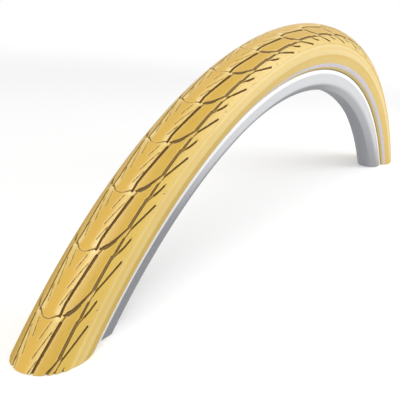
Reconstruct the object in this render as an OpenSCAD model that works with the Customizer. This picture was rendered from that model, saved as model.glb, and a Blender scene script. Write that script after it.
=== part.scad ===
// A cut section of a bicycle tyre, mounted with its inner tube on a length of double-wall rim.
// Both ends are cut by one level plane, so the arch stands on its two cut faces.
//
// Every layer is drawn once as a flat section and turned about the wheel's axle.
// In the flat section x is the distance from the axle and y the distance from the middle plane.

/* [Wheel] */
// Diameter of the seat that the beads rest on
bead_seat_d = 622; // [500:1:635]
// Height of the cutting plane above the axle
cut_height = 202; // [170:1:240]

/* [Tyre] */
// Width of the tyre across its sidewalls
section_w = 32.6; // [27:0.1:40]
// Height of the tread's top above the round of the sidewalls
tread_rise = 2.1; // [1.8:0.1:3.5]
// Radius of the tread from shoulder to shoulder
tread_r = 16; // [14.5:0.5:19]
// Angle from the crown to the edge of the tread
tread_edge_a = 67; // [50:1:75]
// Thickness of the sidewall rubber
sidewall_t = 1.1; // [0.7:0.1:1.6]
// Thickness of one layer of casing cloth
ply_t = 0.4; // [0.3:0.05:0.6]
// Thickness of the puncture belt
belt_t = 0.8; // [0.5:0.1:1.2]
// Width of the puncture belt
belt_w = 22; // [14:1:26]
// Thickness of the chafer strip where it lies against the rim
chafer_t = 0.4; // [0.3:0.05:0.6]
// Radius of the bend that lays the casing over the rim's edge
clinch_r = 3.4; // [2.8:0.1:4.2]
// Height of that bend above the bead seat
clinch_h = 4; // [3.4:0.1:4.8]

/* [Reflective stripe] */
// Angle from the crown to the stripe's outer edge
stripe_from_a = 119; // [90:1:122]
// Angle from the crown to the stripe's inner edge
stripe_to_a = 132; // [125:1:134]
// Thickness of the stripe
stripe_t = 0.2; // [0.1:0.05:0.4]

/* [Bead] */
// Diameter of one steel strand
wire_d = 1; // [0.8:0.05:1.2]
// Rubber between two strands
wire_gap = 0.25; // [0.2:0.05:0.4]
// Rubber around the bundle of strands
wire_cover = 0.25; // [0.2:0.05:0.4]

/* [Inner tube and tape] */
// Wall of the inner tube
tube_t = 0.9; // [0.6:0.1:1.4]
// Clearance between the tube and what it presses on
tube_gap = 0.1; // [0.05:0.05:0.2]
// Thickness of the rim tape
tape_t = 0.5; // [0.3:0.1:0.8]
// Clearance at each edge of the rim tape
tape_gap = 0.1; // [0.05:0.05:0.3]

/* [Rim] */
// Width between the rim's flanges
rim_inner_w = 17; // [15:0.5:19]
// Thickness of a flange
flange_t = 2; // [1.8:0.1:3]
// Height of a flange above the bead seat
flange_h = 5.5; // [5:0.1:6]
// Height of the flat brake track below the flange's top
track_h = 10.3; // [9.5:0.1:12]
// Depth of the rim from the flange's top to its hub face
rim_depth = 16.1; // [15.5:0.1:22]
// Width of the flat hub face
hub_face_w = 10.4; // [8:0.1:13]
// Thickness of the rim's walls
rim_wall = 1.5; // [1.2:0.1:1.8]
// Depth of the well below the bead seat
well_depth = 3; // [2.4:0.1:3.4]
// Width of the well's floor
well_w = 7.2; // [6.5:0.1:8]
// Slope of the well, measured across the rim
well_slope = 1.6; // [1.2:0.1:1.7]
// Chamfer on the flange's outer edge
flange_chamfer = 0.4; // [0.2:0.1:0.8]

/* [Hidden] */
$fn = 96;
TURN_FN = 256;
PLIES_UNDER_TREAD = 3;

// Section circle, on which the casing lies
casing_r = section_w / 2 - sidewall_t;
seat_r = bead_seat_d / 2;
flange_top = seat_r + flange_h;
face_y = rim_inner_w / 2;
flank_y = face_y - chafer_t;
clinch = [seat_r + clinch_h, flank_y + clinch_r];
centre_r = clinch[0] + sqrt(pow(casing_r + clinch_r, 2) - pow(clinch[1], 2));
centre = [centre_r, 0];
clinch_a = 180 - atan(clinch[1] / (centre_r - clinch[0]));
chafer_end_a = -acos((flange_h - clinch_h) / (clinch_r - chafer_t));
crown_r = centre_r + section_w / 2 + tread_rise;

// Bead: a bundle of strands, its rubber cover and one layer of casing round it
strand_ring_r = (wire_d + wire_gap) / sqrt(3);
core_r = strand_ring_r + wire_d / 2 + wire_cover;
loop_r = core_r + ply_t;
bead = [seat_r + chafer_t + loop_r, flank_y - loop_r];
toe_y = bead[1] - loop_r - chafer_t;

// The straight flank touches the inside of the casing circle and the loop round the bead
inside_r = casing_r - 2 * ply_t;
bead_reach = norm(bead - centre);
bead_a = 180 - atan(bead[1] / (centre_r - bead[0]));
flank_a = bead_a - acos((inside_r + loop_r) / bead_reach);
flank_n = [cos(flank_a), sin(flank_a)];
flank_along = [sin(flank_a), -cos(flank_a)];

// Middle of the cloth of the flank, at a distance along it from the bead
function flank_middle(distance) = bead - (core_r + ply_t / 2) * flank_n + distance * flank_along;

// Ends of the filler's flat foot, in the middle of the cloth on both sides
filler_foot = [flank_middle((core_r + (core_r + ply_t / 2) * flank_n[0]) / flank_along[0]),
    bead + [core_r, core_r + ply_t / 2]];

// Third layer and belt under the tread
belt_in_r = casing_r + (PLIES_UNDER_TREAD - 2) * ply_t;
belt_out_r = belt_in_r + belt_t;
belt_a = belt_w / (belt_in_r + belt_out_r) * 180 / PI;

// Rim levels
rim_outer_y = face_y + flange_t;
track_end_r = flange_top - track_h;
hub_r = flange_top - rim_depth;
well_r = seat_r - well_depth;
well_top_y = well_w / 2 + well_slope;
tape_top = well_r + tape_t;
neck_y = toe_y - rim_wall / 2;

// Reach of the turned arc: a little past the cut at the tread
past_cut_a = 1.5;
half_sweep = acos(cut_height / crown_r) + past_cut_a;

// Turns a flat section about the axle and keeps what stands above the cutting plane
module arch() {
    box = 2 * crown_r;
    intersection() {
        translate([0, 0, -cut_height])
            rotate([90, 0, 0])
                rotate_extrude(angle = 2 * half_sweep, start = 90 - half_sweep, $fn = TURN_FN)
                    children();
        translate([-box / 2, -box / 2, 0])
            cube(box);
    }
}

// The right-hand side is the side of +y in the flat section
module left() {
    mirror([0, 1])
        children();
}

module both_sides() {
    children();
    left() children();
}

// Points along an arc about a centre
function arc(about, r, from_a, to_a, steps = 10) =
    [for (i = [0:steps]) let (a = from_a + (to_a - from_a) * i / steps) about + r * [cos(a), sin(a)]];

// A band between two radii about a point, from one angle to another
module band(about, r_in, r_out, from_a, to_a) {
    translate(about)
        intersection() {
            difference() {
                circle(r_out);
                circle(r_in);
            }
            polygon(concat([[0, 0]], arc([0, 0], 2 * r_out, from_a, to_a)));
        }
}

// A rectangle from low to high
module block(low, high) {
    translate(low)
        square(high - low);
}

// One sheet of cloth from bead to bead: inside flank, round the bead, up the flange and back under the tread
module casing_side() {
    band(centre, inside_r, inside_r + ply_t, 0, flank_a);
    polygon([centre + inside_r * flank_n, centre + (inside_r + ply_t) * flank_n,
        bead - core_r * flank_n, bead - loop_r * flank_n]);
    band(bead, core_r, loop_r, 90, flank_a + 180);
    block([bead[0], flank_y - ply_t], [clinch[0], flank_y]);
    band(clinch, clinch_r, clinch_r + ply_t, -90, clinch_a - 180);
    band(centre, casing_r - ply_t, casing_r, 0, clinch_a);
    band(centre, casing_r, belt_in_r, 0, belt_a);
}

module casing_section() {
    both_sides()
        casing_side();
}

// Three strands, a wire and a gap from each other
module strands() {
    for (a = [0, 120, 240])
        translate(bead + strand_ring_r * [cos(a), sin(a)])
            circle(d = wire_d, $fn = 48);
}

// Rubber jacket round the strands
module jacket_section() {
    difference() {
        translate(bead)
            circle(core_r);
        strands();
    }
}

// Rubber in the wedge between the two runs of casing. Its flat foot rests on the jacket, and its tip
// stops short of the place where the two runs meet, because there the wedge has no thickness.
module filler_section() {
    short_of = 34;
    bend = arc(clinch, clinch_r + ply_t / 2, -90, clinch_a - 180 - short_of);
    tip = (bend[len(bend) - 1] - bead) * flank_along;
    difference() {
        polygon(concat(filler_foot, bend, [flank_middle(tip)]));
        casing_side();
    }
}

module chafer_section() {
    difference() {
        union() {
            block([seat_r, toe_y], [bead[0], face_y]);
            block([seat_r, flank_y], [clinch[0], face_y]);
        }
        translate(bead)
            circle(loop_r);
    }
    band(clinch, clinch_r - chafer_t, clinch_r, -90, chafer_end_a);
}

// The skin of one side. Its foot follows the bend of the casing and lies on the flange's top.
module sidewall_section() {
    outer_r = section_w / 2;
    chafer_end = clinch + (clinch_r - chafer_t) * [cos(chafer_end_a), sin(chafer_end_a)];
    difference() {
        intersection() {
            translate(centre)
                circle(outer_r);
            polygon(concat([centre, centre + 2 * outer_r * [cos(tread_edge_a), sin(tread_edge_a)],
                [flange_top, 2 * outer_r], chafer_end], arc(clinch, clinch_r, chafer_end_a, clinch_a - 180)));
        }
        translate(centre)
            circle(casing_r);
    }
}

module stripe_section() {
    band(centre, section_w / 2, section_w / 2 + stripe_t, stripe_from_a, stripe_to_a);
}

module belt_section() {
    band(centre, belt_in_r, belt_out_r, -belt_a, belt_a);
}

module tread_section() {
    reach = 2 * crown_r;
    difference() {
        intersection() {
            translate([crown_r - tread_r, 0])
                circle(tread_r);
            translate(centre)
                polygon([[0, 0], reach * [cos(tread_edge_a), -sin(tread_edge_a)],
                    [reach, 0], reach * [cos(tread_edge_a), sin(tread_edge_a)]]);
        }
        translate(centre)
            circle(casing_r);
        band(centre, 0, belt_out_r, -belt_a, belt_a);
    }
}

// Inner tube's outline, drawn in by some amount from the space between casing and tape
module tube_outline(inset) {
    round_r = inside_r - inset;
    foot_r = neck_y - inset;
    foot = tape_top + neck_y;
    hip = bead - (loop_r + inset) * flank_n;
    touch = centre + round_r * flank_n;
    translate(centre)
        circle(round_r);
    translate([foot, 0])
        circle(foot_r);
    polygon([touch, hip, [foot, foot_r], [foot, -foot_r], [hip[0], -hip[1]], [touch[0], -touch[1]]]);
}

module tube_section() {
    difference() {
        tube_outline(tube_gap);
        tube_outline(tube_gap + tube_t);
    }
}

module tape_section() {
    edge = well_w / 2 - tape_gap;
    block([well_r, -edge], [tape_top, edge]);
}

// A closed outline from the points of its right-hand half
module symmetric(half) {
    last = len(half) - 1;
    polygon(concat(half, [for (i = [last:-1:0]) [half[i][0], -half[i][1]]]));
}

module rim_section() {
    body = [[hub_r, hub_face_w / 2], [track_end_r, rim_outer_y], [flange_top - flange_chamfer, rim_outer_y],
        [flange_top, rim_outer_y - flange_chamfer], [flange_top, face_y], [seat_r, face_y],
        [seat_r, well_top_y], [well_r, well_w / 2]];
    inner_y = rim_outer_y - rim_wall;
    chamber = [[hub_r + rim_wall, hub_face_w / 2 - rim_wall / 4], [track_end_r, inner_y],
        [seat_r - rim_wall, inner_y], [seat_r - rim_wall, well_top_y + rim_wall / 2],
        [well_r - rim_wall, well_w / 2 + rim_wall / 2]];
    difference() {
        symmetric(body);
        symmetric(chamber);
        both_sides()
            lip_corner();
    }
}

// What the lip's inner corner loses, so that it follows the bend of the tyre
module lip_corner() {
    difference() {
        block([clinch[0], face_y - chafer_t], [flange_top + chafer_t, clinch[1]]);
        translate(clinch)
            circle(clinch_r - chafer_t);
    }
}

module tread() { color([0.86, 0.67, 0.32]) arch() tread_section(); }
module puncture_belt() { color([0.30, 0.42, 0.62]) arch() belt_section(); }
module casing() { color([0.80, 0.74, 0.60]) arch() casing_section(); }
module right_sidewall() { color([0.88, 0.74, 0.42]) arch() sidewall_section(); }
module left_sidewall() { color([0.88, 0.74, 0.42]) arch() left() sidewall_section(); }
module right_reflective_stripe() { color([0.86, 0.84, 0.86]) arch() stripe_section(); }
module left_reflective_stripe() { color([0.86, 0.84, 0.86]) arch() left() stripe_section(); }
module right_bead_wire() { color([0.55, 0.50, 0.42]) arch() strands(); }
module left_bead_wire() { color([0.55, 0.50, 0.42]) arch() left() strands(); }
module right_bead_jacket() { color([0.20, 0.18, 0.16]) arch() jacket_section(); }
module left_bead_jacket() { color([0.20, 0.18, 0.16]) arch() left() jacket_section(); }
module right_bead_filler() { color([0.15, 0.15, 0.15]) arch() filler_section(); }
module left_bead_filler() { color([0.15, 0.15, 0.15]) arch() left() filler_section(); }
module right_chafer() { color([0.35, 0.33, 0.22]) arch() chafer_section(); }
module left_chafer() { color([0.35, 0.33, 0.22]) arch() left() chafer_section(); }
module inner_tube() { color([0.12, 0.12, 0.13]) arch() tube_section(); }
module rim_tape() { color([0.20, 0.35, 0.60]) arch() tape_section(); }
module rim() { color([0.80, 0.81, 0.83]) arch() rim_section(); }

tread();
puncture_belt();
casing();
right_sidewall();
left_sidewall();
right_reflective_stripe();
left_reflective_stripe();
right_bead_wire();
left_bead_wire();
right_bead_jacket();
left_bead_jacket();
right_bead_filler();
left_bead_filler();
right_chafer();
left_chafer();
inner_tube();
rim_tape();
rim();
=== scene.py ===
# %% [markdown]
# # A section of a tan bicycle tyre on its rim
#
# The object is an arch: a little under a third of a touring tyre, mounted on a matching length of
# double-wall rim. One level cut makes both ends, so the arch stands on them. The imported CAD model
# gives the frame, and this file gives it its looks: the moulded tread, the skins of the two
# sidewalls, the reflective stripes, the drawn aluminium rim, and a finish for every layer between.

# %% Load the frame
import math

import bpy
import numpy as np
from mathutils import Euler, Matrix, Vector
from mathutils.geometry import tessellate_polygon


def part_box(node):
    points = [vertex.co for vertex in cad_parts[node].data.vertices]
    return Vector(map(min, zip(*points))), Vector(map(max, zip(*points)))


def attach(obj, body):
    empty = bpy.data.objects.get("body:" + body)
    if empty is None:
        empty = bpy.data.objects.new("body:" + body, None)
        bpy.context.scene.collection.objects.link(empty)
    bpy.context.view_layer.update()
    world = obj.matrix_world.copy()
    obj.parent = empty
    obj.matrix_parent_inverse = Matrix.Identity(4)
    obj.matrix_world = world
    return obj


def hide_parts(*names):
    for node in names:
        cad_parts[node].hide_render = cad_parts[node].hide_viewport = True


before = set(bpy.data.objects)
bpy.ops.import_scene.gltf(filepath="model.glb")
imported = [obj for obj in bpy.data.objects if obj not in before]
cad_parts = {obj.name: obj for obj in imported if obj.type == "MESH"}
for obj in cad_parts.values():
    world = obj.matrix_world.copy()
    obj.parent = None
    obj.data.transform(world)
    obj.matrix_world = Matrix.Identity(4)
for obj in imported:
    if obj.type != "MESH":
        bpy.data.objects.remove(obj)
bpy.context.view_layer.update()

# %% [markdown]
# ## Measures
#
# A wheel is easiest to think of in its own coordinates: the distance r from the axle, the angle
# round the axle, and the distance y from the middle plane. The right side of the tyre is at -Y in the
# frame. Two numbers tie the wheel to the frame: the crown's radius and the depth of the axle below the
# cutting plane. Both follow from the tread's box, because its top is at crown_r - axle_drop and its ends
# are where a circle of that radius meets the plane z = 0.

# %% Wheel and section measures, in metres
MM = 0.001
tread_low, tread_high = (np.array(corner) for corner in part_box("tread"))
crown_r = (tread_high[0] ** 2 + tread_high[2] ** 2) / (2 * tread_high[2])
axle_drop = crown_r - tread_high[2]
rim_low, rim_high = (np.array(corner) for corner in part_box("rim"))
flange_r = rim_high[2] + axle_drop
rim_half = rim_high[1]

SECTION_HALF = 16.3 * MM
TREAD_RISE = 2.1 * MM
TREAD_R = 16 * MM
TREAD_EDGE = math.radians(67)
SKIN = 1.1 * MM
centre_r = crown_r - SECTION_HALF - TREAD_RISE
tread_centre_r = crown_r - TREAD_R
casing_r = SECTION_HALF - SKIN
REPEATS_PER_TURN = 64
pitch = 2 * math.pi * crown_r / REPEATS_PER_TURN
print(f"crown radius {crown_r:.4f}, axle {axle_drop:.4f} below the floor, tread pitch {pitch:.4f}")

# %% [markdown]
# ## From a flat section to a solid
#
# Every layer of a tyre is the same idea: a flat outline carried round the axle. So one helper places
# the points of an outline on the wheel, and one turns rings of points into a closed solid. Each
# point has its own first and last angle, because the cut is a plane and a point near the axle
# meets it sooner than one at the crown. That keeps both ends perfectly flat.


# %% Place outlines on the wheel
def end_angle(r):
    """Angle at which a circle of radius r meets the cutting plane: arcsine of axle drop over r."""
    return np.arcsin(axle_drop / r)


def on_wheel(r, y, angle):
    """Frame coordinates of wheel coordinates: x = r cos(angle), z = r sin(angle) - axle drop, Y = -y."""
    return np.stack([r * np.cos(angle), -y * np.ones_like(angle), r * np.sin(angle) - axle_drop], axis=-1)


def sweep(outline, sections):
    """Rings of an outline of (r, y) points: each point runs evenly from one end angle to the other."""
    r, y = outline[:, 0], outline[:, 1]
    share = np.linspace(0, 1, sections)[:, None]
    first = end_angle(r)[None, :]
    return on_wheel(r[None, :], y[None, :], first + share * (math.pi - 2 * first))


# %% [markdown]
# A stack of rings becomes walls of quads between neighbouring rings, and two flat caps. A cap is
# filled with triangles between the points of its outline, so it can have holes and needs no points
# of its own. Caps face out of the solid like the walls do: here that is straight down.


# %% Join rings and close the ends
def bridge(first_index, sections, count):
    """Quads between neighbouring rings of one closed outline."""
    ring = np.arange(sections - 1)[:, None] * count
    point = np.arange(count)[None, :]
    after = (point + 1) % count
    low, high = ring + first_index, ring + first_index + count
    return np.stack([low + point, low + after, high + after, high + point], axis=-1).reshape(-1, 4)


def cap(points, rings, starts, end):
    """Triangles that close one end (0 or -1), facing down: the first outline, less any inside it."""
    loops = [[Vector((p[0], p[1], 0)) for p in ring[end]] for ring in rings]
    index = np.concatenate([start + (end % len(ring)) * ring.shape[1] + np.arange(ring.shape[1])
                            for ring, start in zip(rings, starts)])
    triangles = index[np.array(tessellate_polygon(loops))]
    a, b, c = (points[triangles[:, k]] for k in range(3))
    return triangles[:, ::-1] if np.cross(b - a, c - a)[:, 2].sum() > 0 else triangles


# %% [markdown]
# Two measures tell whether a solid is sound. Its signed volume shows which way the walls face, and
# on a closed surface every edge is run once in each direction by the faces on its two sides.


# %% Measure and make a solid
def signed_volume(points, triangles):
    """Volume inside a closed mesh: the sum of a . (b x c) / 6 over its triangles."""
    a, b, c = (points[triangles[:, k]] for k in range(3))
    return float(np.einsum("ij,ij->i", a, np.cross(b, c)).sum() / 6)


def unmatched_edges(count, *faces):
    """Number of edges, as pairs of point numbers, that no other face runs the opposite way."""
    ends = np.concatenate([np.stack([face, np.roll(face, -1, axis=1)], axis=-1).reshape(-1, 2) for face in faces])
    there, back = ends[:, 0] * count + ends[:, 1], ends[:, 1] * count + ends[:, 0]
    return len(np.setxor1d(there, back)) + len(there) - len(np.unique(there))


def make_object(name, points, quads, triangles, sharp):
    """A smooth-shaded mesh object, with edges sharper than an angle in degrees kept sharp."""
    mesh = bpy.data.meshes.new(name)
    corners = np.concatenate([quads.ravel(), triangles.ravel()]).astype(np.int32)
    sizes = np.concatenate([np.full(len(quads), 4), np.full(len(triangles), 3)]).astype(np.int32)
    mesh.vertices.add(len(points))
    mesh.vertices.foreach_set("co", points.astype(np.float32).ravel())
    mesh.loops.add(len(corners))
    mesh.loops.foreach_set("vertex_index", corners)
    mesh.polygons.add(len(sizes))
    mesh.polygons.foreach_set("loop_start", np.concatenate([[0], np.cumsum(sizes)[:-1]]).astype(np.int32))
    mesh.polygons.foreach_set("use_smooth", np.ones(len(sizes), dtype=bool))
    mesh.update(calc_edges=True)
    mesh.set_sharp_from_angle(angle=math.radians(sharp))
    piece = bpy.data.objects.new(name, mesh)
    bpy.context.scene.collection.objects.link(piece)
    return piece


def solid_from_rings(name, rings, sharp=40):
    """A closed solid from one or more stacks of rings, shaped (sections, points, 3), with flat ends.

    The ends lie in the plane z = 0, which passes through the origin, so they add nothing to the
    signed volume: its sign is that of the walls alone.
    """
    starts = np.concatenate([[0], np.cumsum([ring.shape[0] * ring.shape[1] for ring in rings])[:-1]])
    points = np.concatenate([ring.reshape(-1, 3) for ring in rings])
    quads = np.concatenate([bridge(start, *ring.shape[:2]) for ring, start in zip(rings, starts)])
    caps = np.concatenate([cap(points, rings, starts, end) for end in (0, -1)])
    walls = np.concatenate([quads[:, [0, 1, 2]], quads[:, [0, 2, 3]]])
    volume = signed_volume(points, walls)
    if volume < 0:
        quads = quads[:, ::-1]
    print(f"{name}: {len(points)} points, {len(walls) + len(caps)} triangles, {abs(volume) * 1e6:.1f} cm3, "
          f"unmatched edges {unmatched_edges(len(points), quads, caps)}")
    return make_object(name, points, quads, caps, sharp)


def swept_solid(name, outline, sections, holes=(), sharp=40):
    """A closed solid: an outline of (r, y) points, run anticlockwise, with any holes run clockwise."""
    return solid_from_rings(name, [sweep(loop, sections) for loop in (outline, *holes)], sharp)


def anticlockwise(outline):
    """The same outline, run anticlockwise in the (r, y) plane: its shoelace area is positive."""
    r, y = outline[:, 0], outline[:, 1]
    area = np.sum(r * np.roll(y, -1) - np.roll(r, -1) * y)
    return outline if area > 0 else outline[::-1]


# %% [markdown]
# ## Names on the surface
#
# Patterns on rubber and brushed metal follow the surface. So each piece gets a UV map in plain units:
# u is the distance along the tyre, counted in tread pitches, and v is the distance across it in
# millimetres. Numbers that only the mesh knows, such as the distance to the nearest groove, are kept
# on the points as attributes.


# %% Maps and attributes
def points_of(piece):
    """The points of a piece, as an array with one row for each."""
    flat = np.empty(3 * len(piece.data.vertices), dtype=np.float32)
    piece.data.vertices.foreach_get("co", flat)
    return flat.reshape(-1, 3).astype(float)


def add_map(piece, u, v):
    """A UV map from one u and one v value per point."""
    mesh = piece.data
    corner = np.empty(len(mesh.loops), dtype=np.int32)
    mesh.loops.foreach_get("vertex_index", corner)
    layer = mesh.uv_layers.new(name="surface")
    layer.data.foreach_set("uv", np.stack([u, v], axis=-1)[corner].astype(np.float32).ravel())


def add_attribute(piece, name, values):
    """A number on every point."""
    attribute = piece.data.attributes.new(name, "FLOAT", "POINT")
    attribute.data.foreach_set("value", values.astype(np.float32))


def pitches_along(points):
    """Distance along the tyre in tread pitches, from the angle of a point round the axle."""
    angle = np.arctan2(points[:, 2] + axle_drop, points[:, 0])
    return (GROOVE_START - angle) * crown_r / pitch


# %% [markdown]
# ## The tread pattern
#
# The pattern repeats 64 times round the wheel and is the same on both sides of the crown. It is
# drawn flat, for one pitch, as strokes: each stroke is a chain of points (distance along, distance
# from the crown), a half width at each end and a depth. A stroke may run past the end of its pitch,
# because the strokes of the neighbouring pitches are laid over it.

# %% Strokes of one pitch, in millimetres: points, half widths, depth
GROOVE_START = math.radians(139.8)
STROKES = [
    # the long groove beside the centre blocks
    ([(-0.5, 5.9), (5, 5.6), (12, 6.1), (20, 6.8), (31.2, 7.6)], (0.62, 0.74), 1.3),
    # its shallow tie to the next wedge
    ([(31.2, 7.6), (34.4, 8.3)], (0.42, 0.5), 0.4),
    # the round end of each centre block, deep at the junction and shallow at the crown
    ([(-0.1, 5.6), (-1.2, 4.2), (-2.4, 2.9)], (0.46, 0.36), 0.7),
    ([(-2.4, 2.9), (-3.3, 1.5), (-3.6, 0)], (0.34, 0.3), 0.4),
    # the wedge that opens outwards from the junction
    ([(0.6, 7.4), (2, 8.7), (4, 9.8), (7.6, 11.2), (11.2, 12.4)], (0.5, 0.62), 1.0),
    ([(1.9, 8.7), (4.2, 10.1), (7.8, 11.5)], (1.05, 0.78), 1.0),
    ([(11.2, 12.4), (16.6, 13.9)], (0.58, 0.54), 0.7),
    # the zigzag groove outside the blocks
    ([(17.2, 13.9), (34.2, 14.1)], (0.84, 0.8), 0.9),
    ([(0, 14.1), (3.2, 14.5)], (0.5, 0.5), 0.6),
    ([(3.2, 14.5), (10.4, 14.6)], (0.7, 0.66), 0.9),
    ([(10.4, 14.8), (16.9, 15.3)], (0.36, 0.36), 0.6),
    # the long and the short shoulder strokes
    ([(16.9, 15.3), (20, 16.1), (26, 17.6), (30, 18.5), (35.1, 19.7)], (0.46, 0.66), 1.1),
    ([(-1.6, 14.6), (1, 15.1), (4.2, 16.1)], (0.36, 0.4), 0.6),
    ([(4.2, 16.1), (8, 17.1), (13, 18)], (0.56, 0.58), 1.1),
    # the dot on the shoulder line
    ([(9.3, 20.1), (10.2, 21.0)], (0.4, 0.4), 0.6),
    # the three thin cuts on the centre block
    ([(4, 3.4), (12.4, 5.1)], (0.33, 0.26), 0.5),
    ([(12.2, 2.8), (26.6, 5.9)], (0.34, 0.28), 0.5),
    ([(21.2, 1.9), (30.3, 3.6)], (0.34, 0.28), 0.5),
]
WALL = 0.32
THIN = 0.35
print(len(STROKES), "strokes in a pitch of", round(pitch / MM, 2), "mm")


# %% Distance to the strokes
def to_segment(x, s, a, b, half_a, half_b):
    """Distance to the line from a to b, and the same less a half width that runs from half_a to half_b."""
    ax, ay = a
    dx, dy = b[0] - ax, b[1] - ay
    share = np.clip(((x - ax) * dx + (s - ay) * dy) / (dx * dx + dy * dy), 0, 1)
    line = np.hypot(x - ax - share * dx, s - ay - share * dy)
    return line, line - (half_a + share * (half_b - half_a))


def to_stroke(x, s, stroke):
    """Distance to a stroke's line and to its edge: the least over its segments, laid once for the pitch
    and once for each neighbouring pitch."""
    chain, (half_0, half_1), _ = stroke
    length = pitch / MM
    steps = np.hypot(*np.diff(np.array(chain), axis=0).T)
    shares = np.concatenate([[0], np.cumsum(steps) / steps.sum()])
    halves = half_0 + shares * (half_1 - half_0)
    parts = [to_segment(x + lap, s, chain[k], chain[k + 1], halves[k], halves[k + 1])
             for lap in (-length, 0, length) for k in range(len(chain) - 1)]
    return np.minimum.reduce([part[0] for part in parts]), np.minimum.reduce([part[1] for part in parts])


def smooth_step(t):
    """0 below 0, 1 above 1, and 3t^2 - 2t^3 between."""
    t = np.clip(t, 0, 1)
    return t * t * (3 - 2 * t)


def pattern(along, across):
    """Depth of the grooves, signed distance to the nearest edge, and the distances to each kind of line
    that grid points are pulled onto: edges, feet of walls and middles of thin cuts."""
    x = np.mod(along, pitch / MM)
    s = np.abs(across)
    deep, near, thin = [], [], []
    for stroke in STROKES:
        line, edge = to_stroke(x, s, stroke)
        wall = min(WALL, max(stroke[1]))
        deep.append(stroke[2] * smooth_step(-edge / wall))
        near.append(edge)
        if max(stroke[1]) < THIN:
            thin.append(line)
    wide = np.minimum.reduce([edge for edge, stroke in zip(near, STROKES) if max(stroke[1]) >= THIN])
    return (np.maximum.reduce(deep), np.minimum.reduce(near)), (wide, wide + WALL, np.minimum.reduce(thin))


# %% [markdown]
# ## The tread
#
# A tread is moulded, so its grooves have crisp edges, slightly sloping walls and rounded ends. The
# mesh is one fine grid over the outside of the tread, finer near the junctions, where the grooves
# cross it, than between them, where they run along it. Grid points close to the edge of a groove or
# to the foot of its wall are moved onto it, along the slope of the distance. A cut too thin for two
# edges gets one row of points along its middle. The inside and the two ends close the solid.

# %% Grid over the tread
TREAD_SECTIONS = 744
TREAD_ACROSS = 118
DENSE_FROM, DENSE_TO, DENSER = -5.0, 5.0, 2.4
END_FADE = 45
END_FLAT = 6
offset = tread_centre_r - centre_r
edge_turn = TREAD_EDGE + math.asin(offset * math.sin(TREAD_EDGE) / TREAD_R)
half_across = TREAD_R * edge_turn / MM

ends_along = [(GROOVE_START - turn) * crown_r / MM for turn in
              (math.pi - end_angle(crown_r), end_angle(crown_r))]
fine_along = np.linspace(*ends_along, 40000)
in_pitch = np.mod(fine_along - DENSE_FROM, pitch / MM) + DENSE_FROM
density = 1 + (DENSER - 1) * smooth_step((DENSE_TO + 1.5 - in_pitch) / 3)
shares = np.cumsum(density)
shares = (shares - shares[0]) / (shares[-1] - shares[0])
rows = np.interp(np.linspace(0, 1, TREAD_SECTIONS), shares, fine_along)[:, None]

across = np.linspace(-half_across, half_across, TREAD_ACROSS)[None, :] * np.ones((TREAD_SECTIONS, 1))
along = rows * np.ones((1, TREAD_ACROSS))
outer_r = tread_centre_r + TREAD_R * np.cos(across[:1] * MM / TREAD_R)
late = (end_angle(outer_r) - end_angle(crown_r)) * crown_r / MM
along = along + late * (smooth_step(1 - (rows - rows[0]) / END_FADE) - smooth_step(1 - (rows[-1] - rows) / END_FADE))
step_across = 2 * half_across / (TREAD_ACROSS - 1)
row_steps = np.diff(rows[:, 0])
print(f"grid step {row_steps.min():.2f} to {row_steps.max():.2f} mm along and {step_across:.2f} mm across")

# %% Move grid points onto the edges
free = np.zeros_like(along)
free[1:-1, 1:-1] = 1
for kind in range(3):
    _, lines = pattern(along, across)
    field = lines[kind]
    slope_along = np.gradient(field, axis=0) / np.gradient(along, axis=0)
    slope_across = np.gradient(field, axis=1) / np.gradient(across, axis=1)
    steep = np.maximum(slope_along ** 2 + slope_across ** 2, 0.5)
    pull = -np.where(np.abs(field) < 0.52 * step_across, field, 0) / steep
    reach = 0.45 * step_across
    along = along + free * np.clip(pull * slope_along, -reach, reach)
    across = across + free * np.clip(pull * slope_across, -reach, reach)
    free = free * np.where(pull != 0, 0, 1)

(depth, gap), _ = pattern(along, across)
print(f"deepest groove {depth.max():.2f} mm, {np.mean(gap < 0):.0%} of the tread is groove")

# %% Shape the tread and keep its ends flat
lean = across * MM / TREAD_R
r = tread_centre_r + (TREAD_R - depth * MM) * np.cos(lean)
y = (TREAD_R - depth * MM) * np.sin(lean)
turn = GROOVE_START - along * MM / crown_r
for end, target in ((0, math.pi - end_angle(r[0])), (-1, end_angle(r[-1]))):
    distance = np.abs(turn - turn[end][None, :]) * crown_r / MM
    turn = turn + (target - turn[end])[None, :] * smooth_step(1 - distance / END_FLAT)
turn, r, y = turn[::-1], r[::-1], y[::-1]
outer = on_wheel(r, y, turn)

# %% [markdown]
# The inside of the tread follows the casing, and steps out over the belt, which lies between them.

# %% Inside of the tread, and the whole solid
INSIDE_POINTS = 12
BELT_HALF, BELT_T, BELT_ROOM = 11 * MM, 0.8 * MM, 1.2 * MM
belt_out = casing_r + BELT_ROOM
belt_half = BELT_HALF / (casing_r + BELT_T)
inside_turn = np.concatenate([[TREAD_EDGE, 0.5 * (TREAD_EDGE + belt_half), belt_half],
                              np.linspace(belt_half, -belt_half, INSIDE_POINTS - 6),
                              [-belt_half, -0.5 * (TREAD_EDGE + belt_half), -TREAD_EDGE]])
inside_r = np.concatenate([[casing_r] * 3, [belt_out] * (INSIDE_POINTS - 6), [casing_r] * 3])
inside = np.stack([centre_r + inside_r * np.cos(inside_turn), inside_r * np.sin(inside_turn)], axis=-1)
inside_rings = sweep(inside, TREAD_SECTIONS)
tread = solid_from_rings("moulded_tread", [np.concatenate([outer, inside_rings], axis=1)], sharp=48)

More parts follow.
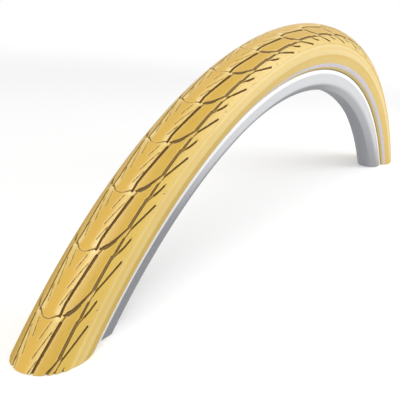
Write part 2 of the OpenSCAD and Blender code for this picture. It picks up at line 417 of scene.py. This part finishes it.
NO_GROOVE_NEAR = 5
zeros = np.zeros((TREAD_SECTIONS, INSIDE_POINTS))
inside_along = pitches_along(inside_rings.reshape(-1, 3)).reshape(TREAD_SECTIONS, -1)
add_attribute(tread, "groove_gap", np.concatenate([gap[::-1], zeros + NO_GROOVE_NEAR], axis=1).ravel())
add_attribute(tread, "groove_depth", np.concatenate([depth[::-1], zeros], axis=1).ravel())
add_map(tread, np.concatenate([along[::-1] * MM / pitch, inside_along], axis=1).ravel(),
        np.concatenate([across[::-1], zeros + half_across], axis=1).ravel())

# %% [markdown]
# ## The sidewalls
#
# Each side has a skin of rubber about a millimetre thick. It is round, from the tread's edge to the
# top of the rim's flange, with a few fine moulded ribs that run all the way round: one under the
# tread's edge, one on each side of the stripe, and the centring line just above the rim, by which a
# rider checks that the tyre sits true. The ribs are small bumps on the radius of the outline.

# %% Outline of a sidewall
LIP = 3.0 * MM
CLINCH_R = 3.4 * MM
BEND_Y = 8.1 * MM + CLINCH_R
bend_centre_r = flange_r - 1.5 * MM
RIBS = [(70.2, 0.7, 0.16), (116.4, 0.6, 0.14), (134.4, 0.6, 0.14), (138.6, 0.8, 0.24)]
SIDE_POINTS = 150


def rib_height(turn):
    """Height of the ribs at an angle from the crown: the sum of one smooth bell for each rib."""
    return sum(height * MM * np.exp(-((np.degrees(turn) - at) / half) ** 2) for at, half, height in RIBS)


def side_outline():
    """Outline of the skin: out along the ribbed circle, down to the flange, and back inside."""
    foot_turn = math.pi - math.acos((centre_r - flange_r) / SECTION_HALF)
    turn = np.linspace(TREAD_EDGE, foot_turn, SIDE_POINTS)
    radius = SECTION_HALF + rib_height(turn)
    skin = np.stack([centre_r + radius * np.cos(turn), radius * np.sin(turn)], axis=-1)
    clinch_turn = math.pi - math.atan(BEND_Y / (centre_r - bend_centre_r))
    lip_turn = -math.acos((flange_r - bend_centre_r) / LIP)
    bend = np.linspace(lip_turn, clinch_turn - math.pi, 8)
    foot = np.stack([bend_centre_r + CLINCH_R * np.cos(bend), BEND_Y + CLINCH_R * np.sin(bend)], axis=-1)
    toe = np.array([[flange_r, BEND_Y + LIP * math.sin(lip_turn)]])
    back = np.linspace(clinch_turn, TREAD_EDGE, 30)[1:]
    lining = np.stack([centre_r + casing_r * np.cos(back), casing_r * np.sin(back)], axis=-1)
    return np.concatenate([skin, toe, foot, lining])


# %% Both sidewalls
SIDE_SECTIONS = 420


def other_side(outline):
    """The same outline on the left of the tyre: y changes sign, and the order keeps it anticlockwise."""
    return np.stack([outline[:, 0], -outline[:, 1]], axis=-1)[::-1]


def across_skin(points):
    """Distance across the skin from the crown, in millimetres, along the section circle."""
    r = np.hypot(points[:, 0], points[:, 2] + axle_drop)
    return np.arctan2(np.abs(points[:, 1]), r - centre_r) * SECTION_HALF / MM


def both_sides(kind, outline):
    """A piece swept from an outline on the right of the tyre, and its mirror image on the left."""
    made = {}
    for side, loop in (("right", outline), ("left", other_side(outline))):
        made[side] = swept_solid(f"{side}_{kind}", anticlockwise(loop), SIDE_SECTIONS)
        points = points_of(made[side])
        add_map(made[side], pitches_along(points), across_skin(points))
    return made


sides = both_sides("side_skin", side_outline())

# %% [markdown]
# ## The reflective stripes
#
# A reflective stripe is a film with tiny glass beads, cured into the skin near the rim. It stands a
# fifth of a millimetre proud, with soft edges, so it is a thin lens-shaped outline on the skin.

# %% Both stripes
STRIPE_FROM, STRIPE_TO = math.radians(119), math.radians(132)
STRIPE_T = 0.2 * MM
STRIPE_POINTS = 34


def stripe_outline():
    """Outline of a stripe: out along a low flat-topped hump and back along the skin."""
    share = np.linspace(0, 1, STRIPE_POINTS)
    turn = STRIPE_FROM + share * (STRIPE_TO - STRIPE_FROM)
    hump = STRIPE_T * np.clip(np.minimum(share, 1 - share) / 0.12, 0, 1) ** 0.5
    top = SECTION_HALF + hump
    bottom = np.full_like(top, SECTION_HALF - 0.05 * MM)
    radius = np.concatenate([top, bottom[::-1]])
    turn = np.concatenate([turn, turn[::-1]])
    return np.stack([centre_r + radius * np.cos(turn), radius * np.sin(turn)], axis=-1)


stripes = both_sides("stripe_film", stripe_outline())

# %% [markdown]
# ## The rim
#
# A rim is one aluminium extrusion, rolled into a hoop. Its outline has two flanges that hold the
# tyre, a well between them, and a closed chamber that makes it stiff. Extruded corners are never
# knife-sharp, so each corner of the outline is replaced by a small arc.

# %% Round the corners of an outline
ARC_STEPS = 9


def rounded(corners, radii):
    """Each corner becomes an arc that touches both of its sides: the radius over tan of half the angle
    gives how far along each side the arc starts."""
    corners = np.asarray(corners, dtype=float)
    out = []
    for k, radius in enumerate(radii):
        here, before, after = corners[k], corners[k - 1], corners[(k + 1) % len(corners)]
        to_before = (before - here) / np.linalg.norm(before - here)
        to_after = (after - here) / np.linalg.norm(after - here)
        half = math.acos(np.clip(np.dot(to_before, to_after), -1, 1)) / 2
        back = min(radius / math.tan(half), 0.45 * np.linalg.norm(before - here), 0.45 * np.linalg.norm(after - here))
        start, stop = here + back * to_before, here + back * to_after
        middle = here + (to_before + to_after) / np.linalg.norm(to_before + to_after) * back / math.cos(half)
        radius = np.linalg.norm(start - middle)
        from_a, to_a = start - middle, stop - middle
        share = np.linspace(0, 1, ARC_STEPS)[:, None]
        blend = (1 - share) * from_a + share * to_a
        out.append(middle + radius * blend / np.linalg.norm(blend, axis=1, keepdims=True))
    return np.concatenate(out)


def fine(outline, longest):
    """The same closed outline with points added, so that no side is longer than a given length."""
    out = []
    for a, b in zip(outline, np.roll(outline, -1, axis=0)):
        steps = max(1, math.ceil(np.linalg.norm(b - a) / longest))
        out.append(a + (b - a) * np.linspace(0, 1, steps, endpoint=False)[:, None])
    return np.concatenate(out)


# %% [markdown]
# Half of each outline is drawn and mirrored. The hub side is bevelled, so that the rim is narrower
# where the spokes would enter than where the tyre sits.

# %% Outlines of the rim and its chamber
FACE_HALF = 8.5 * MM
SEAT = flange_r - 5.5 * MM
WELL = SEAT - 3 * MM
WELL_HALF = 3.6 * MM
WELL_TOP_HALF = 5.2 * MM
TRACK_END = flange_r - 10.3 * MM
HUB = flange_r - 16.1 * MM
HUB_HALF = 5.2 * MM
RIM_WALL = 1.5 * MM
LIP_START = SEAT + 4 * MM

lip_turn = np.linspace(-math.pi / 2, -math.acos((flange_r - LIP_START) / LIP), 6)
lip = np.stack([LIP_START + LIP * np.cos(lip_turn), BEND_Y + LIP * np.sin(lip_turn)], axis=-1)
half_corners = [(HUB, HUB_HALF), (TRACK_END, rim_half), (flange_r, rim_half)]
half_corners += [tuple(p) for p in lip[::-1]]
half_corners += [(SEAT, FACE_HALF), (SEAT, WELL_TOP_HALF), (WELL, WELL_HALF)]
half_radii = [1.2, 6.0, 0.9, 0.1, 0.1, 0.1, 0.1, 0.1, 0.1, 0.4, 0.4, 0.5]
whole = half_corners + [(r, -y) for r, y in reversed(half_corners)]
radii = [value * MM for value in half_radii + half_radii[::-1]]
rim_outline = anticlockwise(fine(rounded(whole, radii), 0.6 * MM))

inner_half = rim_half - RIM_WALL
half_chamber = [(HUB + RIM_WALL, HUB_HALF - RIM_WALL / 4), (TRACK_END, inner_half), (SEAT - RIM_WALL, inner_half),
                (SEAT - RIM_WALL, WELL_TOP_HALF + RIM_WALL / 2), (WELL - RIM_WALL, WELL_HALF + RIM_WALL / 2)]
chamber = half_chamber + [(r, -y) for r, y in reversed(half_chamber)]
chamber_outline = anticlockwise(fine(rounded(chamber, [0.6 * MM] * len(chamber)), 2 * MM))[::-1]
print(len(rim_outline), "points round the rim and", len(chamber_outline), "round its chamber")

# %% [markdown]
# Along the upper edge of each outer face runs a painted highlight, a near-white band, and the rest is brushed. The
# mesh knows where that edge runs, so the band of painted highlight is kept as an attribute.

# %% Sweep the rim
RIM_SECTIONS = 230
rim = swept_solid("rim_extrusion", rim_outline, RIM_SECTIONS, holes=[chamber_outline], sharp=32)


def round_outline(outline, sections):
    """Distance along a closed outline at each of its points, in millimetres, for every section."""
    steps = np.linalg.norm(np.diff(outline, axis=0), axis=1)
    return np.tile(np.concatenate([[0], np.cumsum(steps)]) / MM, sections)


points = points_of(rim)
around = np.concatenate([round_outline(loop, RIM_SECTIONS) for loop in (rim_outline, chamber_outline)])
add_map(rim, pitches_along(points), around)
rim_r = np.hypot(points[:, 0], points[:, 2] + axle_drop)
EDGE = 1.2 * MM
HIGHLIGHT_DROP = 3.3 * MM
# Where the painted highlight lies: the top 3.3 mm of each outer face, below the flange's top.
near_top = smooth_step((rim_r - flange_r + HIGHLIGHT_DROP) / (0.8 * MM))
near_side = smooth_step((np.abs(points[:, 1]) - rim_half + EDGE) / (0.5 * MM))
add_attribute(rim, "polished", near_top * near_side)
print(f"{np.mean(near_top * near_side > 0.5):.0%} of the rim's points lie in the bright bands")

# %% [markdown]
# ## A short way to write shaders
#
# A material is a sum of simple functions of the surface, so it should read like one. The class below
# wraps an output socket. Adding or multiplying two of them adds the Math node, colours go through Mix,
# and every other node comes from one method.


# %% Shader expressions
def colour(r, g, b):
    """Linear colour from the 0 to 255 values of a colour picker."""
    def linear(value):
        value /= 255
        return value / 12.92 if value <= 0.04045 else ((value + 0.055) / 1.055) ** 2.4
    return (linear(r), linear(g), linear(b), 1.0)


class Field:
    """A value that varies over a surface: an output socket that can be used in arithmetic."""

    def __init__(self, finish, socket):
        self.finish, self.socket = finish, socket

    def maths(self, operation, *others):
        inputs = dict(enumerate((self, *others)))
        return self.finish.node("ShaderNodeMath", {"operation": operation}, inputs)

    def __add__(self, other):
        return self.maths("ADD", other)

    def __sub__(self, other):
        return self.maths("SUBTRACT", other)

    def __mul__(self, other):
        return self.maths("MULTIPLY", other)

    def __truediv__(self, other):
        return self.maths("DIVIDE", other)

    def __rsub__(self, other):
        return self * -1 + other

    __radd__ = __add__
    __rmul__ = __mul__

    def size(self):
        return self.maths("ABSOLUTE")

    def sine(self):
        return self.maths("SINE")

    def between(self, low, high):
        """0 at low, 1 at high, smooth between and flat outside."""
        return self.finish.node("ShaderNodeMapRange", {"interpolation_type": "SMOOTHSTEP"},
                                {"Value": self, "From Min": low, "From Max": high})


class Finish:
    """A material or a world under construction."""

    def __init__(self, name, kind=bpy.data.materials):
        self.owner = kind.new(name)
        self.owner.use_nodes = True
        self.tree = self.owner.node_tree
        self.tree.nodes.clear()

    def node(self, kind, settings, inputs, output=0):
        """One node: its settings are set first, then each input gets its value or its link."""
        made = self.tree.nodes.new(kind)
        for name, value in settings.items():
            if name == "stops":
                self.set_stops(made.color_ramp, value)
            else:
                setattr(made, name, value)
        for key, value in inputs.items():
            if isinstance(value, Field):
                self.tree.links.new(value.socket, made.inputs[key])
            else:
                made.inputs[key].default_value = value
        return Field(self, made.outputs[output]) if made.outputs else None

    @staticmethod
    def set_stops(ramp, stops):
        while len(ramp.elements) < len(stops):
            ramp.elements.new(0.5)
        for element, (place, value) in zip(ramp.elements, stops):
            element.position, element.color = place, value

    def attribute(self, name):
        return self.node("ShaderNodeAttribute", {"attribute_name": name}, {}, "Fac")

    def outputs(self, kind, settings, inputs, names):
        """Several outputs of one node, by their names."""
        sockets = self.node(kind, settings, inputs).socket.node.outputs
        return [Field(self, sockets[name]) for name in names]

    def split(self, vector):
        """The x, y and z of a vector."""
        return self.outputs("ShaderNodeSeparateXYZ", {}, {"Vector": vector}, "XYZ")

    def surface_map(self):
        """The u and v of the piece's own map."""
        return self.split(self.node("ShaderNodeUVMap", {"uv_map": "surface"}, {}))[:2]

    def place(self):
        return self.node("ShaderNodeTexCoord", {}, {}, "Object")

    def vector(self, x, y, z=0.0):
        return self.node("ShaderNodeCombineXYZ", {}, {"X": x, "Y": y, "Z": z})

    def noise(self, at, scale, detail=2.0, roughness=0.5):
        return self.node("ShaderNodeTexNoise", {}, {"Vector": at, "Scale": scale, "Detail": detail,
                                                    "Roughness": roughness}, "Fac")

    def mix(self, factor, a, b, how="MIX"):
        return self.node("ShaderNodeMix", {"data_type": "RGBA", "blend_type": how},
                         {"Factor": factor, 6: a, 7: b}, 2)

    def ramp(self, value, stops):
        return self.node("ShaderNodeValToRGB", {"stops": stops}, {"Fac": value}, "Color")

    def bump(self, height, strength, distance):
        return self.node("ShaderNodeBump", {}, {"Height": height, "Strength": strength,
                                                "Distance": distance}, "Normal")

    def done(self, **sockets):
        """Ends the material in a Principled shader with these sockets, by their names."""
        named = {key.replace("_", " ").title().replace("Ior", "IOR"): value for key, value in sockets.items()}
        return self.end("ShaderNodeOutputMaterial", self.node("ShaderNodeBsdfPrincipled", {}, named))

    def end(self, kind, shader):
        """Links a shader to the output and gives back the finished material or world."""
        self.node(kind, {}, {"Surface": shader})
        print(self.owner.name, "has", len(self.tree.nodes), "nodes")
        return self.owner


# %% [markdown]
# ## Tan rubber for the tread
#
# Tan rubber is not one colour: the blocks outside the long groove are a deeper gold, and the shoulder is lighter
# again. The pale strip beside the long groove is a painted highlight along the blocks' raised edge, and so is a pale
# line on the shoulder ridge; the lower ends of the centre blocks and the necks by the junctions carry painted
# highlights too. The grooves are painted shade, darker the deeper they go, with a thin paler line along each edge. A
# fine grain breaks up the shine.

# %% Tread rubber
# Bands across the tread: painted highlights in the pale strip beside the long groove (0.19 to 0.235) and in the pale
# line on the shoulder ridge (0.885).
TREAD_BANDS = [(0.0, (224, 180, 70)), (0.10, (225, 181, 70)), (0.19, (235, 202, 112)), (0.235, (238, 207, 122)),
               (0.26, (224, 184, 74)), (0.34, (208, 167, 54)), (0.50, (206, 166, 46)), (0.58, (210, 174, 60)),
               (0.66, (215, 182, 76)), (0.82, (222, 188, 84)), (0.865, (226, 194, 96)), (0.885, (238, 214, 136)),
               (0.91, (234, 208, 132))]
BAND_SPAN = 24
PITCH_MM = pitch / MM
# Groove floor colours by depth in mm: painted shade, darker than the rubber.
GROOVE_SHADE_COLOURS = [(0.0, (200, 160, 70)), (0.35, (150, 116, 46)), (0.5, (126, 94, 34)), (0.8, (140, 112, 54)),
                  (0.92, (138, 110, 58)), (1.0, (118, 88, 38)), (1.08, (116, 84, 30)), (1.3, (124, 88, 26))]


def tread_rubber():
    f = Finish("tread_rubber")
    u, v = f.surface_map()
    at = f.place()
    side = v.size()
    step = u.maths("FRACT")
    bands = f.ramp(side / BAND_SPAN, [(stop, colour(*rgb)) for stop, rgb in TREAD_BANDS])
    clouds = f.noise(at, 38, 3, 0.55)
    grain = f.noise(at, 900, 2, 0.6)
    streaks = f.noise(f.vector(u * 4.0, v * 1.3), 1.0, 3, 0.6)
    base = f.mix((clouds - 0.5) * 0.5 + 0.2, bands, colour(204, 162, 58))
    outer_block = side.between(8.0, 9.5) * (1 - side.between(12.0, 13.5)) * step.between(0.3, 0.45)
    base = f.mix(outer_block * streaks.between(0.5, 0.7) * 0.35, base, colour(176, 138, 50))
    # Painted highlight: the lower end of each centre block is lightened towards cream.
    lower_end_highlight = (1 - step.between(0.02, 0.4)) * side.between(1.5, 4.5) * (1 - side.between(5.4, 6.0))
    base = f.mix(lower_end_highlight * 0.55, base, colour(248, 224, 160))
    # Painted highlight: a pale cream patch beside the junction at the end of each pitch.
    neck_highlight = step.between(0.86, 0.97) * side.between(3.2, 5.4) * (1 - side.between(6.6, 7.6))
    base = f.mix(neck_highlight * 0.6, base, colour(250, 228, 160))
    gap = f.attribute("groove_gap")
    depth = f.attribute("groove_depth")
    # A thin paler line just outside the edge of each groove.
    pale_rim = gap.between(0.0, 0.1) * (1 - gap.between(0.2, 0.6))
    base = f.mix(pale_rim * 0.22, base, colour(248, 226, 160))
    # Painted shade: each groove, over its whole width, takes a darker brown that follows its depth.
    floor = f.ramp(depth / 1.5, [(stop / 1.5, colour(*rgb)) for stop, rgb in GROOVE_SHADE_COLOURS])
    base = f.mix(1 - gap.between(-0.12, 0.06), base, floor)
    rough = clouds * 0.12 + 0.34 + depth.between(0.1, 0.6) * 0.3
    height = grain * 0.4 + f.noise(at, 240, 2) * 0.6
    return f.done(base_color=base, roughness=rough, normal=f.bump(height, 0.22, 0.0004),
                  specular_ior_level=0.7)


# %% [markdown]
# ## Tan rubber for the sidewalls
#
# The skin of a gum sidewall is thin, and the cords of the casing show through it as a faint diagonal weave. A pale
# band under the shoulder is a painted highlight, with a deeper gold band below it, and a pale line along the skin's
# top edge is a painted highlight on the shoulder ridge. Beside the rim the skin turns greener and darker, down to a
# dark line where it meets the flange.

# %% Sidewall rubber
# Bands across the skin: painted highlights from 0.0 to 0.07 and from 0.24 to 0.35; greener and darker from 0.93 to the
# rim.
SIDE_BANDS = [(0.0, (232, 206, 128)), (0.07, (234, 210, 136)), (0.11, (226, 196, 110)), (0.18, (225, 194, 106)),
              (0.24, (230, 206, 134)), (0.35, (229, 204, 130)), (0.40, (212, 172, 46)), (0.50, (216, 184, 78)),
              (0.62, (218, 187, 88)), (0.74, (221, 191, 86)), (0.84, (214, 190, 86)), (0.93, (198, 180, 90)),
              (0.975, (166, 148, 68)), (1.0, (84, 70, 28))]
SIDE_FROM, SIDE_TO = 19.0, 40.2
CORD_PITCH = 0.55


def side_rubber():
    f = Finish("sidewall_rubber")
    u, v = f.surface_map()
    at = f.place()
    bands = f.ramp((v - SIDE_FROM) / (SIDE_TO - SIDE_FROM), [(stop, colour(*rgb)) for stop, rgb in SIDE_BANDS])
    clouds = f.noise(at, 30, 3, 0.55)
    turn = 2 * math.pi / (CORD_PITCH * math.sqrt(2))
    along = u * PITCH_MM
    weave = ((along + v) * turn).sine() * 0.5 + ((along - v) * turn).sine() * 0.5
    base = f.mix((clouds - 0.5) * 0.5 + 0.2, bands, colour(205, 166, 64))
    base = f.mix(weave.between(-1.0, 1.0) * 0.1, base, colour(188, 150, 68))
    rough = clouds * 0.1 + 0.34
    height = weave * 0.35 + f.noise(at, 700, 2, 0.6) * 0.5
    return f.done(base_color=base, roughness=rough, normal=f.bump(height, 0.12, 0.0003),
                  specular_ior_level=0.7)


# %% [markdown]
# ## Reflective film
#
# Seen by daylight the film is a pale lilac grey. Under it lies a mesh of glass beads in small cells,
# which shows as a fine pattern in the gloss.

# %% Film
def reflective_film():
    f = Finish("reflective_film")
    u, v = f.surface_map()
    beads = f.node("ShaderNodeTexVoronoi", {"feature": "DISTANCE_TO_EDGE"},
                   {"Vector": f.vector(u * PITCH_MM, v), "Scale": 1.6, "Randomness": 0.25}, "Distance")
    cells = beads.between(0.02, 0.09)
    clouds = f.noise(f.place(), 60, 2)
    base = f.mix(cells, colour(178, 170, 178), colour(206, 197, 204))
    base = f.mix(clouds.between(0.45, 0.75) * 0.35, base, colour(214, 204, 198))
    rough = 0.5 - cells * 0.16
    return f.done(base_color=base, roughness=rough, normal=f.bump(cells, 0.15, 0.0002))


# %% [markdown]
# ## Aluminium
#
# The rim is polished and clear anodised. Rolling and polishing leave fine lines along the hoop, so the
# grain is a noise that is stretched a great deal along u and hardly at all across it.

# %% Rim metal
def rim_metal():
    f = Finish("rim_aluminium")
    u, v = f.surface_map()
    lines = f.noise(f.vector(u * 0.35, v * 6.0), 4.0, 4, 0.7)
    broad = f.noise(f.vector(u * 0.5, v * 0.4), 1.5, 2)
    base = f.mix(lines, colour(196, 198, 203), colour(222, 223, 226))
    # Painted highlight: the band turns near-white, rougher and far less metallic.
    polished = f.attribute("polished")
    base = f.mix(polished, base, colour(252, 252, 252))
    rough = lines * 0.08 + broad * 0.06 + 0.18 + polished * 0.2
    return f.done(base_color=base, metallic=0.9 - 0.75 * polished, roughness=rough, normal=f.bump(lines, 0.10, 0.0002),
                  coat_weight=0.6, coat_roughness=0.2)


# %% [markdown]
# ## Finishes for the layers inside
#
# The layers between the tread and the rim show only at the two cut ends, under the arch. Their CAD
# solids already have the right shape, so they keep it and get a finish that reads Object coordinates:
# cords in the casing and the chafers, fibres in the belt, wire for the beads and plain black
# rubber elsewhere.

# %% Cloth, fibre, wire, black rubber and tape
def cord_cloth(name, rubber, cord, spacing):
    """Rubberised cloth: cords at 45 degrees, seen as stripes of x + y + z and x - y + z."""
    f = Finish(name)
    at = f.place()
    x, y, z = f.split(at)
    turn = 2 * math.pi / spacing
    cords = ((x + y + z) * turn).sine() * ((x - y + z) * turn).sine()
    mask = cords.between(-0.6, 0.6)
    base = f.mix(mask, rubber, cord)
    base = f.mix(f.noise(at, 400, 3) * 0.3, base, rubber)
    return f.done(base_color=base, roughness=0.75 - mask * 0.1, normal=f.bump(mask, 0.3, 0.0002))


def speckled(name, base_colour, fleck, rough, scale=700, amount=0.35):
    """Rubber or plastic with a fine fleck in its colour and a little cloud in its gloss."""
    f = Finish(name)
    at = f.place()
    grain = f.noise(at, scale, 3, 0.6)
    clouds = f.noise(at, 60, 2)
    base = f.mix(grain.between(0.5, 0.72) * amount, base_colour, fleck)
    return f.done(base_color=base, roughness=clouds * 0.15 + rough, normal=f.bump(grain, 0.2, 0.0002))


def drawn_wire():
    """Bronze-coated steel, with fine scratches and a darker tarnish in patches."""
    f = Finish("bead_steel")
    at = f.place()
    tarnish = f.noise(at, 150, 3)
    base = f.mix(tarnish.between(0.4, 0.7), colour(206, 170, 110), colour(150, 110, 62))
    return f.done(base_color=base, metallic=1.0, roughness=tarnish * 0.2 + 0.25,
                  normal=f.bump(f.noise(at, 1200, 2), 0.1, 0.0001))


LAYER_FINISHES = {
    "puncture_belt": speckled("belt_rubber", colour(58, 92, 150), colour(212, 190, 92), 0.55, 900, 0.7),
    "casing": cord_cloth("casing_cloth", colour(150, 118, 62), colour(226, 212, 176), 0.0011),
    "chafer": cord_cloth("chafer_cloth", colour(52, 46, 26), colour(96, 86, 50), 0.0009),
    "bead_wire": drawn_wire(),
    "bead_jacket": speckled("jacket_rubber", colour(52, 46, 42), colour(84, 76, 68), 0.55),
    "bead_filler": speckled("filler_rubber", colour(40, 40, 42), colour(72, 72, 74), 0.6),
    "inner_tube": speckled("tube_rubber", colour(38, 38, 41), colour(66, 66, 70), 0.45),
    "rim_tape": speckled("tape_plastic", colour(44, 92, 168), colour(74, 122, 196), 0.35, 300, 0.4),
}
for name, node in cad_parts.items():
    for layer, finish in LAYER_FINISHES.items():
        if name.endswith(layer):
            node.data.materials.clear()
            node.data.materials.append(finish)
            print(name, "has", finish.name)

# %% [markdown]
# ## Hand the pieces to the frame
#
# Every piece rides on the one body. The new pieces stand for the CAD solids of the same layers, which are hidden, and
# each gets its finish.

# %% Finish, replace and ride
rubber = side_rubber()
film = reflective_film()
pieces = [
    (tread, "tread", "tread_rubber", tread_rubber()),
    (sides["right"], "right_sidewall", "sidewall_rubber", rubber),
    (sides["left"], "left_sidewall", "sidewall_rubber", rubber),
    (stripes["right"], "right_reflective_stripe", "reflective_film", film),
    (stripes["left"], "left_reflective_stripe", "reflective_film", film),
    (rim, "rim", "rim_aluminium", rim_metal()),
]
for piece, node, slot, finish in pieces:
    piece.data.materials.append(finish)
    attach(piece, "root")
    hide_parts(node)

# %% [markdown]
# ## Floor, light and camera
#
# The set is a plain white studio: a floor that keeps a soft shadow, an even white surround, and two large soft lamps.
# Rays that go from the camera, or off the metal, see the surround as pure white. The surround that lights the rubber
# is weaker than that, so pale surfaces keep their colour. Near the arch, glossy rays see the floor as a grey that
# fades to white across it, a painted reflection that puts painted shade on the rim's faces.

# %% Floor
FLOOR_HALF = 30.0
PAPER_FROM, PAPER_TO = 0.45, 1.1
PAINTED_REFLECTION_SHARE = 0.9
PAINTED_REFLECTION_GREY = (0.27, 0.275, 0.285, 1)
WHITE = (1, 1, 1, 1)
REFLECTION_FADE = (0.5, -1.5, 0.0)
REFLECTION_FROM, REFLECTION_TO = 0.04, 0.44


def white_floor():
    """Paper near the arch, which takes its shadow, that fades into the white of the surround. Glossy rays, such as
    those off the metal, see the paper near the arch as a grey glow that fades to white across it: a painted reflection
    that puts painted shade on the rim, so that its faces can be told apart."""
    f = Finish("white_floor")
    path, glossy = f.outputs("ShaderNodeLightPath", {}, {}, ("Is Camera Ray", "Is Glossy Ray"))
    away = f.node("ShaderNodeVectorMath", {"operation": "LENGTH"}, {0: f.place()}, "Value")
    paper = f.node("ShaderNodeBsdfDiffuse", {}, {"Color": (0.92, 0.92, 0.92, 1)})
    glow = f.node("ShaderNodeEmission", {}, {"Color": WHITE, "Strength": 0.2})
    near = f.node("ShaderNodeAddShader", {}, {0: paper, 1: glow})
    # Painted reflection: a grey glow that glossy rays see on the paper near the arch, which puts painted shade on the
    # rim.
    mirrored = f.node("ShaderNodeEmission", {}, {"Color": PAINTED_REFLECTION_GREY, "Strength": 1.0})
    across_reflection = f.node("ShaderNodeVectorMath", {"operation": "DOT_PRODUCT"}, {0: f.place(), 1: REFLECTION_FADE}, "Value")
    past_reflection = across_reflection.between(REFLECTION_FROM, REFLECTION_TO)
    painted_reflection = glossy * (1 - past_reflection) * PAINTED_REFLECTION_SHARE
    near = f.node("ShaderNodeMixShader", {}, {0: painted_reflection, 1: near, 2: mirrored})
    far = f.node("ShaderNodeEmission", {}, {"Color": WHITE, "Strength": 1.0})
    fade = path * away.between(PAPER_FROM, PAPER_TO) + glossy * past_reflection
    share = fade.between(0, 1)
    return f.end("ShaderNodeOutputMaterial", f.node("ShaderNodeMixShader", {}, {0: share, 1: near, 2: far}))


floor_mesh = bpy.data.meshes.new("studio_floor")
floor_mesh.from_pydata([(-FLOOR_HALF, -FLOOR_HALF, 0), (FLOOR_HALF, -FLOOR_HALF, 0),
                        (FLOOR_HALF, FLOOR_HALF, 0), (-FLOOR_HALF, FLOOR_HALF, 0)], [], [(0, 1, 2, 3)])
floor = bpy.data.objects.new("studio_floor", floor_mesh)
bpy.context.scene.collection.objects.link(floor)
floor.location.z = -0.0003
floor.data.materials.append(white_floor())
print("the floor reaches", FLOOR_HALF, "m each way")

# %% World and lamps
SURROUND = 0.55


def white_world():
    """Pure white to the camera and to anything that mirrors it, and a weaker white as a light."""
    f = Finish("studio", bpy.data.worlds)
    camera_ray, glossy, through = f.outputs("ShaderNodeLightPath", {}, {},
                                            ("Is Camera Ray", "Is Glossy Ray", "Is Transmission Ray"))
    seen = camera_ray.maths("MAXIMUM", glossy).maths("MAXIMUM", through)
    lighting = f.node("ShaderNodeBackground", {}, {"Color": WHITE, "Strength": SURROUND})
    shown = f.node("ShaderNodeBackground", {}, {"Color": WHITE, "Strength": 1.0})
    return f.end("ShaderNodeOutputWorld", f.node("ShaderNodeMixShader", {}, {0: seen, 1: lighting, 2: shown}))


def soft_lamp(name, place, size, watts):
    """A square lamp of a given size, turned to face the middle of the arch."""
    lamp = bpy.data.lights.new(name, "AREA")
    lamp.size, lamp.energy = size, watts
    holder = bpy.data.objects.new(name, lamp)
    holder.location = place
    aim = Vector((0, 0, 0.08)) - Vector(place)
    holder.rotation_euler = aim.to_track_quat("-Z", "Y").to_euler()
    bpy.context.scene.collection.objects.link(holder)
    print(f"{name}: {watts} W at {aim.length:.2f} m")


bpy.context.scene.world = white_world()
soft_lamp("key", (-1.1, -0.5, 1.6), 1.2, 16)
soft_lamp("side", (0.5, -0.6, 0.4), 0.5, 2.4)

# %% [markdown]
# The camera stands low beside the left-hand foot of the arch and looks along it, so the near foot
# is large and the far one small, and it leans a little to one side.

# %% Camera
CAMERA_AT = (-0.4819, -0.1819, 0.1709)
CAMERA_TURN = (71.98, -6.34, -60.24)
LENS_MM = 62.73
camera_data = bpy.data.cameras.new("camera")
camera_data.lens, camera_data.sensor_width = LENS_MM, 36
camera_data.clip_start = 0.01
camera = bpy.data.objects.new("camera", camera_data)
camera.location = CAMERA_AT
camera.rotation_euler = Euler([math.radians(a) for a in CAMERA_TURN], "XYZ")
bpy.context.scene.collection.objects.link(camera)
bpy.context.scene.camera = camera
bpy.context.scene.view_settings.view_transform = "Standard"
print("camera at", CAMERA_AT, "with a", LENS_MM, "mm lens")
